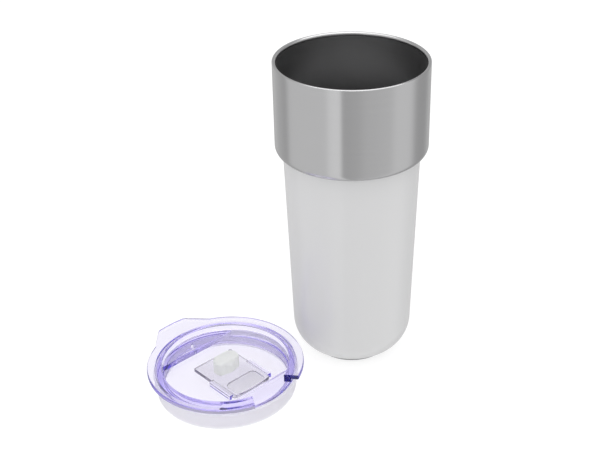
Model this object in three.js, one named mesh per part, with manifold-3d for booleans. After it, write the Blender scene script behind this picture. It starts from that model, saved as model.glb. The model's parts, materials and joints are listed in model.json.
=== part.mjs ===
// An insulated tumbler and its press-in lid with a sliding shutter.
// Millimetres, +Z up. The tumbler stands on the origin with its mouth open, and the lid lies
// right way up on the same surface beside it. The lid's own frame has +X towards its spout.

import * as THREE from 'three';
import { mergeVertices } from 'three/addons/utils/BufferGeometryUtils.js';
import Module from 'manifold-3d';

const wasm = await Module();
wasm.setup();

// ---------- driving dimensions: tumbler ----------
const GAP = 0.3;                  // clearance between two pieces that touch
const BEVEL = 0.5;                // small bevels
const HEIGHT = 183;               // floor to the top of the lip
const RIM_RADIUS = 43;            // outside of the steel collar
const LIP_WIDTH = 2.1;            // rolled lip, seen from above
const LIP_DEPTH = 1.8;            // height of the rolled lip
const LIP_ROUND = 0.7;            // outer edge of the rolled lip
const LIP_CREST = 0.1;            // flat top of the lip, between its outer and inner roundings
const COLLAR_LENGTH = 53;         // lip to the collar's lower edge
const COLLAR_OVERHANG = 4.1;      // how far the collar stands out from the lower body
const OUTER_SHEET = 0.7;          // wall of the collar and of the lower body
const LINER_SHEET = 0.6;          // wall of the inner cup
const BODY_TAPER = 3.4;           // radius that the lower body loses from the collar to its heel
const HEEL_ROUND = 19.2;          // radius of the rounded heel
const TUCK = 3.2;                 // how far the lower body runs up inside the collar
const FOOT_INSET = 10.6;          // heel to the opening in the underside of the lower body
const PLATE_RISE = 0.4;           // base plate above the edge of that opening
const PLATE_INSET = 0.9;          // opening to the base plate's edge
const POCKET_RADIUS = 4.6;        // pressed pocket at the middle of the base plate
const POCKET_DEPTH = 2.2;
const PUMP_HOLE_RADIUS = 1.2;
const BEAD_RADIUS = 2.4;          // bead that seals the pumping hole
const BEAD_HEIGHT = 1.5;
const PAD_INSET = 0.8;            // opening to the rubber pad's edge
const GROOVE_INSET = 5.8;         // pad's edge to the round groove under it
const GROOVE_WIDTH = 4;
const GROOVE_DEPTH = 0.5;
const VACUUM_FLOOR = 6;           // space between the base plate and the inner cup
const LINER_ROUND = 15;           // rounded corner at the bottom of the inner cup
const NECK_RISE = 1;              // collar's lower edge to the step in the inner cup
const NECK_STEP = 13;             // height of that S-shaped step
const WALL_SPACE = 2.6;           // space between the two walls of the lower body
const GETTER_RADIUS = 4.2;
const GETTER_THICKNESS = 1.8;
const GETTER_INSET = 0.1;         // edge of the inner cup's flat bottom to the getter pill

// ---------- driving dimensions: lid ----------
const FLANGE_OVERHANG = 1.8;      // how far the flange stands out past the collar
const FLANGE_THICKNESS = 2.8;
const FLANGE_EDGE = 0.8;          // bevels of the flange
const PLUG_DEPTH = 14.2;          // flange underside to the lid's lowest edge
const PLUG_CLEARANCE = 0.4;       // between the clear plug's shoulder and the mouth
const PLUG_STEP = 1;              // shoulder to the plug wall that the sleeve goes round
const SLEEVE_SQUEEZE = 0.6;       // how far the sleeve's widest ring stands past the mouth
const SLEEVE_TAPER = 1.4;         // widest ring to the sleeve's lower edge
const SLEEVE_HEIGHT = 11;
const SLEEVE_CROWN = 1.2;         // sleeve's top to its widest ring
const SLEEVE_LIP = 2;             // height of the sleeve's turned-in lip, with its gap
const SLEEVE_LIP_SET = 0.7;       // dish wall to the lip's inner edge
const DISH_WALL = 3;              // wall of the dished lid
const DISH_DEPTH = 8;             // flange top to the dish floor
const DISH_FLOOR = 2;             // thickness of the dish floor
const DISH_CORNER = 1.6;          // rounding between the dish floor and wall
const SHELF_RISE = 3;             // vent shelf and spout sill above the dish floor
const SHELF_WIDTH = 10.6;         // each shelf, measured in from the dish wall
const NOTCH_HALF = 12.5;          // half the spout's width at the dish wall
const NOTCH_FLARE = 0.68;         // how much each side of the spout opens out per mm
const NOTCH_TURN = 4;             // spout's middle from the shutter's axis, in degrees
const TAB_REACH = 7.9;            // thumb tab, out from the flange
const TAB_HALF = 10;              // half its width at the outer corners
const TAB_CORNER = 2.3;           // rounding of those corners
const TAB_ROOT_TURN = 27;         // degrees from the tab's middle to where it joins the flange
const VENT_RADIUS = 0.8;
const VENT_INSET = 4.5;           // dish wall to the vent hole
const HOLE_LENGTH = 9;            // drinking hole, along the shutter's axis
const HOLE_WIDTH = 18;
const HOLE_COVER = 3;             // shutter's front edge to the hole when closed
const SEAL_MARGIN = 1.2;          // silicone pad beyond the hole, all round
const SEAL_CORNER = 3;
const SEAL_HEIGHT = 1;
const SHUTTER_TRAVEL = 12;        // how far the shutter slides to open the hole
const SHUTTER_HALF = 13.6;        // half the shutter's width
const SHUTTER_THICKNESS = 2.1;
const SHUTTER_CORNER = 3.6;       // rounding of its front corners
const SHUTTER_BOW = 1;            // how far its front edge bows out
const SHUTTER_LIFT = 0.6;         // shutter above the dish floor
const STOP_GAP = 1.1;             // shutter to sill when closed, and to the shelf when open
const TONGUE_THICKNESS = 0.8;     // shutter's thin side edges, which run under the rails
const RAIL_WALL = 1.3;
const RAIL_LIP = 1.3;             // how far each rail reaches over the shutter's edge
const RAIL_LENGTH = 18;
const RAIL_SETBACK = 3.2;         // shutter's front edge to the rails
const GRIP_HALF = 7.8;            // half the width of the thumb grip
const GRIP_LENGTH = 10;
const GRIP_HEIGHT = 7.7;
const GRIP_SETBACK = 8.2;         // shutter's rear edge to the grip
const GRIP_CORNER = 3.6;          // rounding of its front corners
const GRIP_BOW = 1;               // how far its front face bows out
const GRIP_REAR_EDGE = 1.5;       // bevel of its rear's top edge
const GRIP_REAR_CORNER = 3;       // bevels of its rear corners, seen from above
const GRIP_BROW = 2.6;            // rounding where its front meets its top
const GRIP_DIP = 0.5;             // how far its top falls towards the front
const BOSS_DEPTH = 0.5;           // shallow boss under the grip, and the recess it snaps into
const BOSS_INSET = 1.5;
const LID_AZIMUTH = -147.4;       // direction from the tumbler to the lid, in degrees
const SPOUT_AZIMUTH = -45;        // direction of the shutter's axis, in degrees
const LID_CLEARANCE = 2.6;        // between the flange and the widest part of the lower body

const SEGMENTS = 64;              // facets round a full turn
const PAST = 1;                   // how far a cutting shape runs past what it cuts

// ---------- sizes that follow ----------
const MOUTH_RADIUS = RIM_RADIUS - LIP_WIDTH;
const COLLAR_BOTTOM = HEIGHT - COLLAR_LENGTH;
const COLLAR_FOOT = RIM_RADIUS - COLLAR_OVERHANG;
const LIP_INNER_ROUND = LIP_WIDTH - LIP_ROUND - LIP_CREST;
const SHOULDER_RADIUS = COLLAR_FOOT - GAP;
const HEEL_RADIUS = SHOULDER_RADIUS - BODY_TAPER;
const FOOT_RADIUS = HEEL_RADIUS - FOOT_INSET;
const FLANGE_RADIUS = RIM_RADIUS + FLANGE_OVERHANG;
const LID_TOP = PLUG_DEPTH + FLANGE_THICKNESS;
const DISH_TOP = LID_TOP - DISH_DEPTH;
const SHELF_TOP = DISH_TOP + SHELF_RISE;
const PLUG_RADIUS = MOUTH_RADIUS - PLUG_CLEARANCE - PLUG_STEP;
const DISH_RADIUS = PLUG_RADIUS - DISH_WALL;
const SHELF_X = DISH_RADIUS - SHELF_WIDTH;
const SHUTTER_FRONT = SHELF_X - STOP_GAP;
const SHUTTER_REAR = -SHELF_X + STOP_GAP + SHUTTER_TRAVEL;
const SHUTTER_BOTTOM = DISH_TOP + SHUTTER_LIFT;
const SHUTTER_TOP = SHUTTER_BOTTOM + SHUTTER_THICKNESS;
const HOLE_X = SHUTTER_FRONT - HOLE_LENGTH / 2 - HOLE_COVER;
const TONGUE_TOP = SHUTTER_BOTTOM + TONGUE_THICKNESS;
const RAIL_FRONT = SHUTTER_FRONT - RAIL_SETBACK;
const RAIL_REAR = RAIL_FRONT - RAIL_LENGTH;

// ---------- materials ----------
function finish(color, roughness, metalness, opacity = 1) {
  return new THREE.MeshStandardMaterial({ color, roughness, metalness, opacity, transparent: opacity < 1 });
}

const brushedSteel = finish(0xb4b4b6, 0.34, 1);
const linerSteel = finish(0x8f8f91, 0.42, 1);
const whiteCoat = finish(0xe9e9ea, 0.38, 0);
const greyRubber = finish(0x8c8c8e, 0.8, 0);
const clearPlastic = finish(0xe4defa, 0.08, 0, 0.4);
const clearShutter = finish(0xe6e4ee, 0.12, 0, 0.5);
const frostedPlastic = finish(0xe2e3e1, 0.5, 0);
const frostedSilicone = finish(0xeae8f0, 0.55, 0, 0.85);
const getterMetal = finish(0x9a9a98, 0.6, 1);
const sealGlass = finish(0x4a4f58, 0.25, 0);

// ---------- helpers ----------
const point = (x, y) => new THREE.Vector2(x, y);

// Points of an arc about (cx, cy) from angle a to angle b, in degrees, both ends included.
function arc(cx, cy, radius, a, b, steps) {
  return Array.from({ length: steps + 1 }, (_, i) => {
    const turn = THREE.MathUtils.degToRad(a + (b - a) * i / steps);
    return point(cx + radius * Math.cos(turn), cy + radius * Math.sin(turn));
  });
}

// Signed volume of an indexed geometry: positive when its faces point out.
function signedVolume(geometry) {
  const p = geometry.attributes.position;
  const index = geometry.index;
  const [a, b, c] = [new THREE.Vector3(), new THREE.Vector3(), new THREE.Vector3()];
  let sum = 0;
  for (let i = 0; i < index.count; i += 3) {
    a.fromBufferAttribute(p, index.getX(i));
    b.fromBufferAttribute(p, index.getX(i + 1));
    c.fromBufferAttribute(p, index.getX(i + 2));
    sum += a.dot(b.cross(c)) / 6;
  }
  return sum;
}

function faceOutwards(geometry) {
  if (signedVolume(geometry) < 0) {
    const order = geometry.index.array;
    for (let i = 0; i < order.length; i += 3) {
      [order[i + 1], order[i + 2]] = [order[i + 2], order[i + 1]];
    }
  }
  return geometry;
}

function weld(geometry) {
  geometry.deleteAttribute('normal');
  geometry.deleteAttribute('uv');
  return mergeVertices(geometry, 1e-5);
}

// A profile of (radius, height) points turned about +Z. It ends on the axis or closes on itself.
function revolve(profile, segments = SEGMENTS) {
  const onAxis = profile[0].x === 0 && profile[profile.length - 1].x === 0;
  const outline = onAxis ? profile : [...profile, profile[0]];
  const geometry = new THREE.LatheGeometry(outline, segments);
  geometry.rotateX(Math.PI / 2);
  return faceOutwards(weld(geometry));
}

// A flat outline pulled up from height low to height high.
function slab(shape, low, high, curveSegments = 8) {
  const options = { depth: high - low, bevelEnabled: false, curveSegments };
  const geometry = new THREE.ExtrudeGeometry(shape, options);
  geometry.translate(0, 0, low);
  return faceOutwards(weld(geometry));
}

function rectangle(x0, x1, y0, y1) {
  return new THREE.Shape([point(x0, y0), point(x1, y0), point(x1, y1), point(x0, y1)]);
}

// A plate outline along X: bevelled corners at the rear, rounded corners and a bowed edge in front.
// A quadratic curve's peak lies halfway between its chord and its control point.
function nosedOutline(rear, front, half, { rearEdge, corner, bow }) {
  const chord = front - bow;
  const shape = new THREE.Shape();
  shape.moveTo(rear + rearEdge, -half);
  shape.lineTo(chord - corner, -half);
  shape.quadraticCurveTo(chord, -half, chord, corner - half);
  shape.quadraticCurveTo(front + bow, 0, chord, half - corner);
  shape.quadraticCurveTo(chord, half, chord - corner, half);
  shape.lineTo(rear + rearEdge, half);
  shape.lineTo(rear, half - rearEdge);
  shape.lineTo(rear, rearEdge - half);
  shape.closePath();
  return shape;
}

// A rectangle of length along X and width along Y with rounded corners.
function roundedRectangle(cx, cy, length, width, radius) {
  const [x, y] = [length / 2 - radius, width / 2 - radius];
  const corners = [[x, y, 0], [-x, y, 90], [-x, -y, 180], [x, -y, 270]];
  const outline = corners.flatMap(([px, py, turn]) => arc(cx + px, cy + py, radius, turn, turn + 90, 5));
  return new THREE.Shape(outline);
}

function solid(geometry) {
  const mesh = new wasm.Mesh({
    numProp: 3,
    vertProperties: new Float32Array(geometry.attributes.position.array),
    triVerts: new Uint32Array(geometry.index.array),
  });
  return new wasm.Manifold(mesh);
}

function surface(manifold) {
  const mesh = manifold.getMesh();
  const geometry = new THREE.BufferGeometry();
  geometry.setAttribute('position', new THREE.BufferAttribute(new Float32Array(mesh.vertProperties), 3));
  geometry.setIndex(new THREE.BufferAttribute(new Uint32Array(mesh.triVerts), 1));
  return geometry;
}

function piece(name, geometry, material) {
  const mesh = new THREE.Mesh(geometry, material);
  mesh.name = name;
  return mesh;
}

// ---------- tumbler ----------
// Lean of the lower body's wall: radius gained per mm of height, and in degrees.
const bodySlope = (SHOULDER_RADIUS - HEEL_RADIUS) / (COLLAR_BOTTOM - HEEL_ROUND);
const bodyLean = THREE.MathUtils.radToDeg(Math.atan(bodySlope));

// Steel collar: a rolled lip, an upright wall and a rounded lower edge that turns in to the body.
function collarShell() {
  const inner = RIM_RADIUS - OUTER_SHEET;
  const turn = COLLAR_BOTTOM + COLLAR_OVERHANG;
  return revolve([
    ...arc(COLLAR_FOOT, turn, COLLAR_OVERHANG, -90, 0, 5),
    ...arc(RIM_RADIUS - LIP_ROUND, HEIGHT - LIP_ROUND, LIP_ROUND, 0, 90, 3),
    ...arc(MOUTH_RADIUS + LIP_INNER_ROUND, HEIGHT - LIP_INNER_ROUND, LIP_INNER_ROUND, 90, 180, 4),
    point(MOUTH_RADIUS, HEIGHT - LIP_DEPTH),
    point(inner, HEIGHT - LIP_DEPTH),
    ...arc(COLLAR_FOOT, turn, COLLAR_OVERHANG - OUTER_SHEET, 0, -90, 5),
  ]);
}

// Coated lower body: a slightly tapered wall that rounds in to a round opening underneath.
function bodyShell() {
  const centre = HEEL_RADIUS - HEEL_ROUND;
  const stop = -THREE.MathUtils.radToDeg(Math.acos((FOOT_RADIUS - centre) / HEEL_ROUND));
  const rise = COLLAR_BOTTOM + TUCK;
  const top = SHOULDER_RADIUS + bodySlope * TUCK;
  return revolve([
    ...arc(centre, HEEL_ROUND, HEEL_ROUND, stop, -bodyLean, 7),
    point(top, rise),
    point(top - OUTER_SHEET, rise),
    ...arc(centre, HEEL_ROUND, HEEL_ROUND - OUTER_SHEET, -bodyLean, stop, 7),
  ]);
}

// Height of the lower body's outside at a radius within its heel.
function heelHeight(radius) {
  const run = radius - (HEEL_RADIUS - HEEL_ROUND);
  return HEEL_ROUND - Math.sqrt(HEEL_ROUND ** 2 - run ** 2);
}

const PLATE_BOTTOM = heelHeight(FOOT_RADIUS) + PLATE_RISE;
const PLATE_TOP = PLATE_BOTTOM + OUTER_SHEET;

// Steel disc that closes the outer wall, with a pressed pocket and the pumping hole at its middle.
// The pocket's side leans out by half its depth, and the sheet's thickness shifts its upper line.
function basePlate() {
  const edge = FOOT_RADIUS - PLATE_INSET;
  const mouth = POCKET_RADIUS + POCKET_DEPTH / 2;
  const shift = OUTER_SHEET / 2;
  return revolve([
    point(PUMP_HOLE_RADIUS, PLATE_BOTTOM + POCKET_DEPTH),
    point(POCKET_RADIUS, PLATE_BOTTOM + POCKET_DEPTH),
    point(mouth, PLATE_BOTTOM),
    point(edge, PLATE_BOTTOM),
    point(edge, PLATE_TOP),
    point(mouth + shift, PLATE_TOP),
    point(POCKET_RADIUS + shift, PLATE_TOP + POCKET_DEPTH),
    point(PUMP_HOLE_RADIUS, PLATE_TOP + POCKET_DEPTH),
  ], 40);
}

// Bead that seals the pumping hole from below, in the pocket of the base plate.
function sealBead() {
  const top = PLATE_BOTTOM + POCKET_DEPTH - GAP;
  return revolve([
    point(0, top - BEAD_HEIGHT),
    point(BEAD_RADIUS * 2 / 3, top - BEAD_HEIGHT * 3 / 4),
    point(BEAD_RADIUS, top - BEAD_HEIGHT / 3),
    point(BEAD_RADIUS, top),
    point(0, top),
  ], 24);
}

// Non-slip pad under the tumbler, with one round groove in its flat face.
function basePad() {
  const radius = FOOT_RADIUS - PAD_INSET;
  const top = PLATE_BOTTOM - GAP;
  const outer = radius - GROOVE_INSET;
  const inner = outer - GROOVE_WIDTH;
  return revolve([
    point(0, 0),
    point(inner, 0),
    point(inner + GROOVE_DEPTH, GROOVE_DEPTH),
    point(outer - GROOVE_DEPTH, GROOVE_DEPTH),
    point(outer, 0),
    point(radius - BEVEL, 0),
    point(radius, BEVEL),
    point(radius, top),
    point(0, top),
  ], 48);
}

// Radii and heights that the inner cup takes from the outer wall.
const linerTop = HEIGHT - LIP_DEPTH - GAP;
const linerBottom = PLATE_TOP + VACUUM_FLOOR;
const neckLow = COLLAR_BOTTOM + NECK_RISE;
const linerNeck = SHOULDER_RADIUS - OUTER_SHEET - WALL_SPACE - LINER_SHEET;
const linerHeel = HEEL_RADIUS - OUTER_SHEET - WALL_SPACE - LINER_SHEET;

// Inner cup: flat bottom, rounded corner, tapered wall, S-shaped step out and upright mouth.
// outward moves the whole line out by the sheet's thickness.
function linerLine(outward) {
  const roundHeight = linerBottom + LINER_SHEET + LINER_ROUND;
  const neck = Array.from({ length: 7 }, (_, i) => {
    const blend = (1 - Math.cos(Math.PI * i / 6)) / 2;
    const radius = linerNeck + (MOUTH_RADIUS - linerNeck) * blend;
    const sink = outward * Math.sin(Math.PI * i / 6) / 2;
    return point(radius + outward, neckLow + NECK_STEP * i / 6 - sink);
  });
  return [
    point(0, linerBottom + LINER_SHEET - outward),
    ...arc(linerHeel - LINER_ROUND, roundHeight, LINER_ROUND + outward, -90, -bodyLean, 5),
    ...neck,
    point(MOUTH_RADIUS + outward, linerTop),
  ];
}

function liner() {
  return revolve([...linerLine(LINER_SHEET), ...linerLine(0).reverse()]);
}

// Getter pill welded under the inner cup, inside the vacuum.
function getter() {
  const top = linerBottom - GAP;
  const low = top - GETTER_THICKNESS;
  const pill = revolve([
    point(0, low),
    point(GETTER_RADIUS - BEVEL, low),
    point(GETTER_RADIUS, low + BEVEL),
    point(GETTER_RADIUS, top),
    point(0, top),
  ], 24);
  pill.translate(linerHeel - LINER_ROUND - GETTER_RADIUS - GETTER_INSET, 0, 0);
  return pill;
}

// ---------- lid ----------
const shoulderBottom = SLEEVE_HEIGHT + GAP;

// Everything of the clear lid that is round: plug wall, shoulder, flange and dished floor.
function lidRound() {
  const floorLow = DISH_TOP - DISH_FLOOR;
  const edge = FLANGE_EDGE;
  const corner = DISH_CORNER;
  return revolve([
    point(0, floorLow),
    point(DISH_RADIUS - edge, floorLow),
    point(DISH_RADIUS, floorLow - edge),
    point(DISH_RADIUS, SLEEVE_LIP),
    point(PLUG_RADIUS, SLEEVE_LIP),
    point(PLUG_RADIUS, shoulderBottom),
    point(MOUTH_RADIUS - PLUG_CLEARANCE, shoulderBottom),
    point(MOUTH_RADIUS - PLUG_CLEARANCE, PLUG_DEPTH),
    point(FLANGE_RADIUS - edge, PLUG_DEPTH),
    point(FLANGE_RADIUS, PLUG_DEPTH + edge),
    point(FLANGE_RADIUS, LID_TOP - edge),
    point(FLANGE_RADIUS - edge, LID_TOP),
    point(DISH_RADIUS + BEVEL, LID_TOP),
    point(DISH_RADIUS, LID_TOP - BEVEL),
    ...arc(DISH_RADIUS - corner, DISH_TOP + corner, corner, 0, -90, 3),
    point(0, DISH_TOP),
  ]);
}

// Thumb tab: two rounded corners joined to the flange by hollow curves. It points along -X.
function thumbTab() {
  const reach = FLANGE_RADIUS + TAB_REACH;
  const root = THREE.MathUtils.degToRad(TAB_ROOT_TURN);
  const [across, along] = [Math.sin(root), -Math.cos(root)];
  const cornerX = -Math.sqrt(reach ** 2 - TAB_HALF ** 2);
  const c = TAB_CORNER;
  const rootRadius = FLANGE_RADIUS - FLANGE_EDGE;
  const shape = new THREE.Shape();
  shape.moveTo(rootRadius * along, rootRadius * across);
  shape.quadraticCurveTo(cornerX + 2.2 * c, TAB_HALF + 1.8 * c, cornerX + c, TAB_HALF + 0.6 * c);
  shape.quadraticCurveTo(cornerX, TAB_HALF, cornerX, TAB_HALF - c);
  shape.quadraticCurveTo(-reach, 0, cornerX, c - TAB_HALF);
  shape.quadraticCurveTo(cornerX, -TAB_HALF, cornerX + c, -TAB_HALF - 0.6 * c);
  shape.quadraticCurveTo(cornerX + 2.2 * c, -TAB_HALF - 1.8 * c, rootRadius * along, -rootRadius * across);
  shape.lineTo(MOUTH_RADIUS * along, -MOUTH_RADIUS * across);
  shape.lineTo(-MOUTH_RADIUS, 0);
  shape.lineTo(MOUTH_RADIUS * along, MOUTH_RADIUS * across);
  shape.closePath();
  return slab(shape, PLUG_DEPTH, LID_TOP, 6);
}

// A raised part of the dish floor beyond a straight edge, out into the dish wall.
function dishShelf(side) {
  const radius = DISH_RADIUS + DISH_WALL / 2;
  const half = THREE.MathUtils.radToDeg(Math.acos(SHELF_X / radius));
  const shape = new THREE.Shape(arc(0, 0, radius, side - half, side + half, 14));
  return slab(shape, DISH_TOP - DISH_FLOOR / 2, SHELF_TOP);
}

// Rail beside the shutter: an upright wall with a lip over the shutter's thin side edge.
// Its top is flush with the shutter.
function rail(side) {
  const wall = SHUTTER_HALF + GAP;
  const lipBottom = TONGUE_TOP + GAP;
  const outline = new THREE.Shape([
    point(side * wall, DISH_TOP - DISH_FLOOR / 2),
    point(side * (wall + RAIL_WALL), DISH_TOP - DISH_FLOOR / 2),
    point(side * (wall + RAIL_WALL), SHUTTER_TOP),
    point(side * (wall - RAIL_LIP), SHUTTER_TOP),
    point(side * (wall - RAIL_LIP), lipBottom),
    point(side * wall, lipBottom),
  ]);
  const bar = slab(outline, 0, RAIL_LENGTH);
  bar.rotateX(Math.PI / 2);
  bar.rotateZ(Math.PI / 2);
  bar.translate(RAIL_REAR, 0, 0);
  return bar;
}

// Tool that cuts the spout through the dish wall and the flange, open upwards. The spout's
// middle lies a few degrees to one side of the shutter's axis.
function notchTool() {
  const start = SHELF_X;
  const end = FLANGE_RADIUS + PAST;
  const wallX = Math.sqrt(DISH_RADIUS ** 2 - NOTCH_HALF ** 2);
  const half = (x) => NOTCH_HALF + NOTCH_FLARE * (x - wallX);
  const shape = new THREE.Shape([
    point(start, -half(start)),
    point(end, -half(end)),
    point(end, half(end)),
    point(start, half(start)),
  ]);
  const tool = slab(shape, SHELF_TOP, LID_TOP + PAST);
  tool.rotateZ(THREE.MathUtils.degToRad(NOTCH_TURN));
  return tool;
}

function lidBody() {
  const drinkingHole = roundedRectangle(HOLE_X, 0, HOLE_LENGTH, HOLE_WIDTH, HOLE_LENGTH * 0.45);
  const vent = new THREE.Shape(arc(VENT_INSET - DISH_RADIUS, 0, VENT_RADIUS, 0, 330, 11));
  const additions = [thumbTab(), dishShelf(0), dishShelf(180), rail(1), rail(-1)];
  const cuts = [
    notchTool(),
    slab(drinkingHole, 0, DISH_TOP + PAST),
    slab(vent, 0, SHELF_TOP + PAST),
  ];
  let body = solid(lidRound());
  for (const added of additions) {
    body = body.add(solid(added));
  }
  for (const cut of cuts) {
    body = body.subtract(solid(cut));
  }
  return surface(body);
}

// Silicone sleeve round the plug: it tapers towards its lower edge, so that it leads into the
// mouth, and a lip turns in under the plug.
function sleeve() {
  const inner = PLUG_RADIUS + GAP;
  const widest = MOUTH_RADIUS + SLEEVE_SQUEEZE;
  const narrow = widest - SLEEVE_TAPER;
  const lip = DISH_RADIUS + SLEEVE_LIP_SET;
  return revolve([
    point(lip, 0),
    point(narrow - BEVEL, 0),
    point(narrow, BEVEL),
    point(widest, SLEEVE_HEIGHT - SLEEVE_CROWN),
    point(widest - BEVEL, SLEEVE_HEIGHT),
    point(inner, SLEEVE_HEIGHT),
    point(inner, SLEEVE_LIP - GAP),
    point(lip, SLEEVE_LIP - GAP),
  ]);
}

const SEAL_LENGTH = HOLE_LENGTH + 2 * SEAL_MARGIN;
const SEAL_WIDTH = HOLE_WIDTH + 2 * SEAL_MARGIN;
const SEAL_LOW = SHUTTER_BOTTOM - GAP;
const GRIP_REAR = SHUTTER_REAR + GRIP_SETBACK;
const GRIP_FRONT = GRIP_REAR + GRIP_LENGTH;

// Outline of the thumb grip's foot, grown by a margin on every side. A 45 degree bevel grows by
// 2 minus the root of 2 times the margin, so that its slanted side moves out as far as the others.
function gripOutline(margin) {
  const rearEdge = GRIP_REAR_CORNER + margin * (2 - Math.SQRT2);
  const round = { rearEdge, corner: GRIP_CORNER + margin, bow: GRIP_BOW };
  return nosedOutline(GRIP_REAR - margin, GRIP_FRONT + margin, GRIP_HALF + margin, round);
}

// Strip that thins one side of the shutter to the tongue that runs under the rail's lip.
function tongueTool(side) {
  const edges = [side * (SHUTTER_HALF - RAIL_LIP), side * (SHUTTER_HALF + PAST)];
  const [low, high] = [Math.min(...edges), Math.max(...edges)];
  const strip = rectangle(RAIL_REAR - GAP, SHUTTER_FRONT + PAST, low, high);
  return slab(strip, TONGUE_TOP, SHUTTER_TOP + PAST);
}

// Shutter plate: thin edges under the rails, full thickness behind them, a pocket below for its
// seal and a shallow recess above for the grip.
function shutter() {
  const round = { rearEdge: BEVEL, corner: SHUTTER_CORNER, bow: SHUTTER_BOW };
  const outline = nosedOutline(SHUTTER_REAR, SHUTTER_FRONT, SHUTTER_HALF, round);
  const [length, width] = [SEAL_LENGTH + 2 * GAP, SEAL_WIDTH + 2 * GAP];
  const seat = roundedRectangle(HOLE_X, 0, length, width, SEAL_CORNER + GAP);
  const cuts = [
    tongueTool(1),
    tongueTool(-1),
    slab(seat, SHUTTER_BOTTOM - PAST, SEAL_LOW + SEAL_HEIGHT + GAP),
    slab(gripOutline(GAP - BOSS_INSET), SHUTTER_TOP - BOSS_DEPTH, SHUTTER_TOP + PAST, 4),
  ];
  let plate = solid(slab(outline, SHUTTER_BOTTOM, SHUTTER_TOP, 6));
  for (const cut of cuts) {
    plate = plate.subtract(solid(cut));
  }
  return surface(plate);
}

// Silicone pad in the shutter's pocket, which closes the drinking hole.
function shutterSeal() {
  const outline = roundedRectangle(HOLE_X, 0, SEAL_LENGTH, SEAL_WIDTH, SEAL_CORNER);
  return slab(outline, SEAL_LOW, SEAL_LOW + SEAL_HEIGHT);
}

// Thumb grip: a block, round in front, whose top dips towards the front, on a shallow boss.
function thumbGrip() {
  const foot = SHUTTER_TOP + GAP;
  const top = foot + GRIP_HEIGHT;
  const [rear, front] = [GRIP_REAR - PAST, GRIP_FRONT + PAST];
  const side = new THREE.Shape();
  side.moveTo(rear, foot);
  side.lineTo(front, foot);
  side.lineTo(front, top - GRIP_DIP - GRIP_BROW);
  side.quadraticCurveTo(front - PAST, top - GRIP_DIP, front - PAST - GRIP_BROW, top - GRIP_DIP);
  side.lineTo(rear + PAST + GRIP_REAR_EDGE, top);
  side.lineTo(rear, top - GRIP_REAR_EDGE);
  side.closePath();
  const profile = slab(side, -GRIP_HALF - PAST, GRIP_HALF + PAST, 5);
  profile.rotateX(Math.PI / 2);
  const block = solid(slab(gripOutline(0), foot, top, 5)).intersect(solid(profile));
  const boss = slab(gripOutline(-BOSS_INSET), foot - BOSS_DEPTH, foot + BOSS_DEPTH, 4);
  return surface(block.add(solid(boss)));
}

// ---------- assembly ----------
const tumbler = new THREE.Group();
tumbler.add(
  piece('collar_shell', collarShell(), brushedSteel),
  piece('body_shell', bodyShell(), whiteCoat),
  piece('liner_cup', liner(), linerSteel),
  piece('base_plate', basePlate(), brushedSteel),
  piece('vacuum_seal_bead', sealBead(), sealGlass),
  piece('getter_pill', getter(), getterMetal),
  piece('base_pad', basePad(), greyRubber),
);

const lid = new THREE.Group();
lid.add(
  piece('lid_body', lidBody(), clearPlastic),
  piece('lid_sleeve', sleeve(), frostedSilicone),
  piece('shutter_plate', shutter(), clearShutter),
  piece('shutter_seal', shutterSeal(), frostedSilicone),
  piece('thumb_grip', thumbGrip(), frostedPlastic),
);
const lidDistance = SHOULDER_RADIUS + FLANGE_RADIUS + LID_CLEARANCE;
const lidTurn = THREE.MathUtils.degToRad(LID_AZIMUTH);
lid.position.set(lidDistance * Math.cos(lidTurn), lidDistance * Math.sin(lidTurn), 0);
lid.rotation.z = THREE.MathUtils.degToRad(SPOUT_AZIMUTH);

const group = new THREE.Group();
group.add(tumbler, lid);

export default group;
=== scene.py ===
# %% [markdown]
# # A steel tumbler and its clear lid
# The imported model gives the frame: bodies that move, nodes with a name and a place, and joints.
# This lesson keeps every place and size and gives each piece its fine surface and its finish.
# The pieces are turned, pressed or moulded on the real object, so nearly all of them are a
# profile carried round an axis, which numpy can work out in one go.

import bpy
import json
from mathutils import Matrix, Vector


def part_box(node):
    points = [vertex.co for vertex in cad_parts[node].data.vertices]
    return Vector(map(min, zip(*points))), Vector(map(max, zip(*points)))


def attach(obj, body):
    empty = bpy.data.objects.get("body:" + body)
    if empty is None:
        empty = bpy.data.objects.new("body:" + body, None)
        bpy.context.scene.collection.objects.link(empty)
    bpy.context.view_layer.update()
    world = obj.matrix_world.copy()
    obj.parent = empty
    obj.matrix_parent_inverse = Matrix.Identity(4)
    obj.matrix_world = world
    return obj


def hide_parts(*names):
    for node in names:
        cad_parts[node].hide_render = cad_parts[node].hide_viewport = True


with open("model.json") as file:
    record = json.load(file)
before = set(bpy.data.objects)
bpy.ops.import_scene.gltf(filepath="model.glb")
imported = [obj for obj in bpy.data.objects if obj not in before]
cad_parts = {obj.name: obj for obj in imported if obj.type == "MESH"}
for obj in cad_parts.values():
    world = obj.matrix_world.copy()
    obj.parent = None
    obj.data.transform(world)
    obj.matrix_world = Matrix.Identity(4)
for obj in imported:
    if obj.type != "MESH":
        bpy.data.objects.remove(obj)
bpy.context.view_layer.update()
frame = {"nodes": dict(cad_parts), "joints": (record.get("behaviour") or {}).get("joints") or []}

import math

import bpy
import numpy as np

MM = 0.001
scene = bpy.context.scene
scene.view_settings.view_transform = "Standard"

# %% [markdown]
# ## The camera
# It looks down at the tumbler by 30 degrees, from a little over half a metre away. The
# tumbler's axis stands to the right of the view's middle and keeps upright, so the camera
# isn't turned: a small sideways shift of the sensor makes room for the lid instead.

# %% Camera
CAMERA_DISTANCE = 0.5644
CAMERA_HEIGHT = 0.4063
CAMERA_PITCH = 59.98
LENS = 67.16
SIDE_SHIFT = -0.08625

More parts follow.
